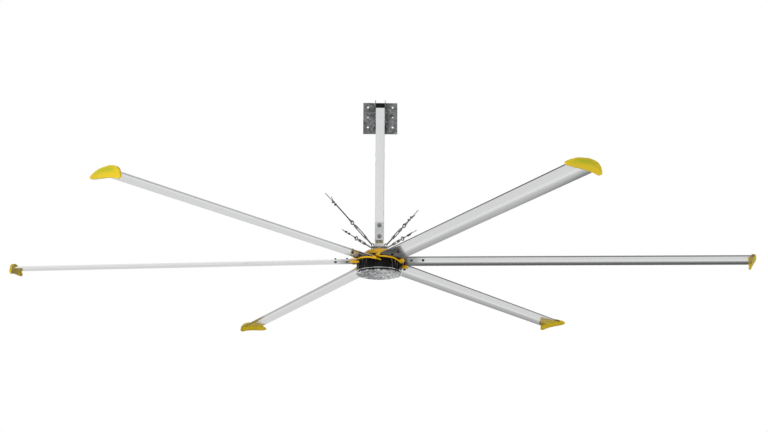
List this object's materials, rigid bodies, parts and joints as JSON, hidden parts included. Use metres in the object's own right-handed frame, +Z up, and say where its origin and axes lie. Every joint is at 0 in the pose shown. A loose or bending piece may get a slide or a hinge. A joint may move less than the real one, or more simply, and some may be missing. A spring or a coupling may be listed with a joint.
{
  "type": "ceiling_fan",
  "caption": "Large slow ceiling fan: long cambered blades with winglets on a direct-drive hub, hung from a beam bracket by a square mast and steadied by turnbuckle guys.",
  "frame": {"origin": "Middle of the bracket's four corner bolt holes, on the face that lies against the beam", "axes": "+Z up along the mast, +Y into the beam, +X to the right when the bracket is seen from the room"},
  "size_m": [6.0878, 5.6358, 1.518],
  "materials": {
    "galvanised_steel": "hot-dip galvanised steel, satin, faint spangle",
    "grey_paint": "light grey powder coat, smooth satin",
    "zinc_steel": "bright zinc-plated steel",
    "yellow_zinc": "yellow zinc plating, dulled",
    "machined_steel": "turned steel, oiled",
    "lamination_steel": "stacked electrical sheet",
    "copper_wire": "enamelled copper winding",
    "bearing_steel": "ground bearing steel",
    "yellow_plastic": "moulded yellow, gloss",
    "black_paint": "gloss black enamel on cast aluminium",
    "magnet_nickel": "nickel-plated magnets",
    "bright_trim": "polished aluminium trim",
    "brushed_cover": "brushed aluminium, mottled by handling",
    "black_oxide": "black oxide on steel fasteners",
    "blade_coating": "satin anodised extrusion with lengthwise die lines",
    "yellow_winglet": "moulded yellow, gloss",
    "wire_strand": "laid galvanised wire rope"
  },
  "bodies": {
    "mast_and_stator": {"mount_bracket": "galvanised_steel", "mast_tube": "grey_paint", "mast_bolts": "zinc_steel", "lower_yoke": "galvanised_steel", "yoke_bolts": "zinc_steel", "shaft_lock_nut": "yellow_zinc", "stator_shaft": "machined_steel", "stator_core": "lamination_steel", "stator_windings": "copper_wire", "bearing_inner_rings": "bearing_steel", "shaft_retainer": "machined_steel", "turnbuckle_hooks": "zinc_steel"},
    "rotor": {"top_cover": "yellow_plastic", "hub_casting": "black_paint", "hub_lid": "black_paint", "motor_drum": "black_paint", "magnet_ring": "magnet_nickel", "end_shield": "black_paint", "trim_ring": "bright_trim", "bottom_cover": "brushed_cover", "bearing_outer_rings": "bearing_steel", "housing_screws": "zinc_steel", "strut_bolts": "zinc_steel", "blade_struts": "galvanised_steel", "blade_bolts": "black_oxide", "blade_1": "blade_coating", "blade_2": "blade_coating", "blade_3": "blade_coating", "blade_4": "blade_coating", "blade_5": "blade_coating", "blade_6": "blade_coating", "winglet_1": "yellow_winglet", "winglet_2": "yellow_winglet", "winglet_3": "yellow_winglet", "winglet_4": "yellow_winglet", "winglet_5": "yellow_winglet", "winglet_6": "yellow_winglet", "root_fairing_1": "yellow_plastic", "root_fairing_2": "yellow_plastic", "root_fairing_3": "yellow_plastic", "root_fairing_4": "yellow_plastic", "root_fairing_5": "yellow_plastic", "root_fairing_6": "yellow_plastic"},
    "turnbuckle_1": {"turnbuckle_body_1": "galvanised_steel"},
    "guy_end_1": {"eye_bolt_1": "zinc_steel", "wire_rope_1": "wire_strand", "rope_fittings_1": "zinc_steel"},
    "turnbuckle_2": {"turnbuckle_body_2": "galvanised_steel"},
    "guy_end_2": {"eye_bolt_2": "zinc_steel", "wire_rope_2": "wire_strand", "rope_fittings_2": "zinc_steel"},
    "turnbuckle_3": {"turnbuckle_body_3": "galvanised_steel"},
    "guy_end_3": {"eye_bolt_3": "zinc_steel", "wire_rope_3": "wire_strand", "rope_fittings_3": "zinc_steel"},
    "turnbuckle_4": {"turnbuckle_body_4": "galvanised_steel"},
    "guy_end_4": {"eye_bolt_4": "zinc_steel", "wire_rope_4": "wire_strand", "rope_fittings_4": "zinc_steel"}
  },
  "joints": [
    {"name": "rotor_spin", "type": "hinge", "parent": "mast_and_stator", "child": "rotor", "pos_m": [0, -0.055, -1.275], "axis": [0, 0, 1], "continuous": true},
    {"name": "turnbuckle_turn_1", "type": "hinge", "parent": "mast_and_stator", "child": "turnbuckle_1", "pos_m": [-0.14226, -0.19726, -1.07351], "axis": [-0.5997, -0.5997, 0.5299], "range_deg": [-1440, 1440]},
    {"name": "guy_take_up_1", "type": "slide", "parent": "mast_and_stator", "child": "guy_end_1", "axis": [-0.5997, -0.5997, 0.5299], "range_m": [-0.01399, 0.01399]},
    {"name": "turnbuckle_turn_2", "type": "hinge", "parent": "mast_and_stator", "child": "turnbuckle_2", "pos_m": [0.14226, -0.19726, -1.07351], "axis": [0.5997, -0.5997, 0.5299], "range_deg": [-1440, 1440]},
    {"name": "guy_take_up_2", "type": "slide", "parent": "mast_and_stator", "child": "guy_end_2", "axis": [0.5997, -0.5997, 0.5299], "range_m": [-0.01399, 0.01399]},
    {"name": "turnbuckle_turn_3", "type": "hinge", "parent": "mast_and_stator", "child": "turnbuckle_3", "pos_m": [0.14226, 0.08726, -1.07351], "axis": [0.5997, 0.5997, 0.5299], "range_deg": [-1440, 1440]},
    {"name": "guy_take_up_3", "type": "slide", "parent": "mast_and_stator", "child": "guy_end_3", "axis": [0.5997, 0.5997, 0.5299], "range_m": [-0.01399, 0.01399]},
    {"name": "turnbuckle_turn_4", "type": "hinge", "parent": "mast_and_stator", "child": "turnbuckle_4", "pos_m": [-0.14226, 0.08726, -1.07351], "axis": [-0.5997, 0.5997, 0.5299], "range_deg": [-1440, 1440]},
    {"name": "guy_take_up_4", "type": "slide", "parent": "mast_and_stator", "child": "guy_end_4", "axis": [-0.5997, 0.5997, 0.5299], "range_m": [-0.01399, 0.01399]}
  ],
  "couplings": [
    {"joint": "turnbuckle_turn_1", "follows": "guy_take_up_1", "rad_per_m": 1795.2},
    {"joint": "turnbuckle_turn_2", "follows": "guy_take_up_2", "rad_per_m": 1795.2},
    {"joint": "turnbuckle_turn_3", "follows": "guy_take_up_3", "rad_per_m": 1795.2},
    {"joint": "turnbuckle_turn_4", "follows": "guy_take_up_4", "rad_per_m": 1795.2}
  ]
}
